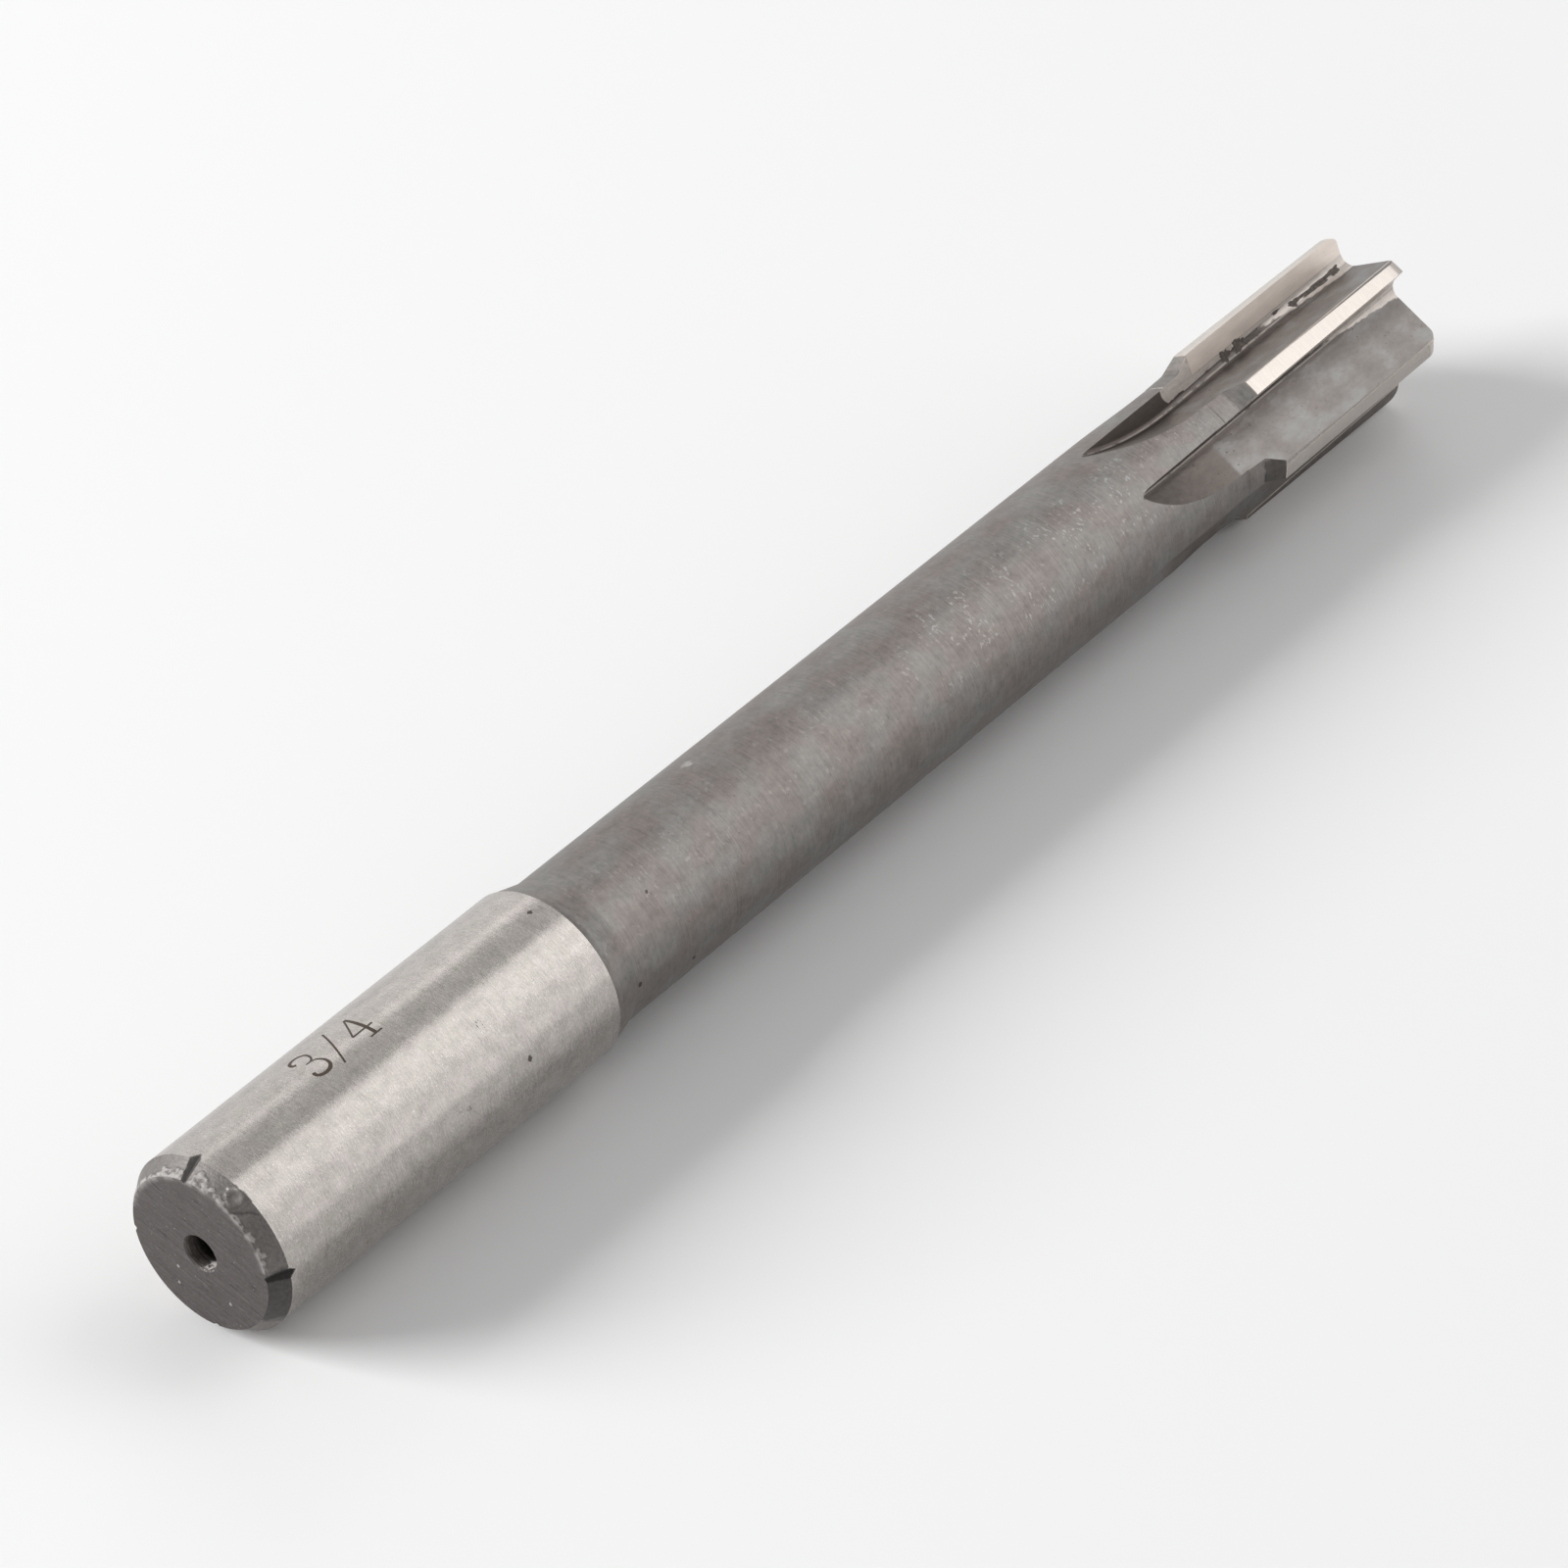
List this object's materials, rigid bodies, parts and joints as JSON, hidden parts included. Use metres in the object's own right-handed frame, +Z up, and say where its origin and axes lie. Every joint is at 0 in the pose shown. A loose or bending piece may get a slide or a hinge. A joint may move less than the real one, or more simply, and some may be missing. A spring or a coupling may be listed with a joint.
{
  "type": "machine reamer",
  "caption": "Carbide-tipped machine reamer with a plain parallel shank, a reduced neck, straight flutes and driver notches in the shank's end.",
  "frame": {"origin": "centre of the shank's end face, at the mouth of its centre hole", "axes": "+X along the tool's axis from the shank's end face to the cutting end, +Z up as the tool lies on its shank and on two teeth"},
  "size_m": [0.182, 0.019, 0.0182],
  "materials": {
    "tool_steel": "ground shank, dull turned and heat-treated neck and flutes",
    "carbide": "fine ground",
    "braze": "dull, oxidised"
  },
  "bodies": {
    "root": {"reamer_body": "tool_steel", "carbide_tip_1": "carbide", "carbide_tip_2": "carbide", "carbide_tip_3": "carbide", "carbide_tip_4": "carbide", "carbide_tip_5": "carbide", "carbide_tip_6": "carbide", "braze_seam_1": "braze", "braze_seam_2": "braze", "braze_seam_3": "braze", "braze_seam_4": "braze", "braze_seam_5": "braze", "braze_seam_6": "braze"}
  },
  "joints": []
}
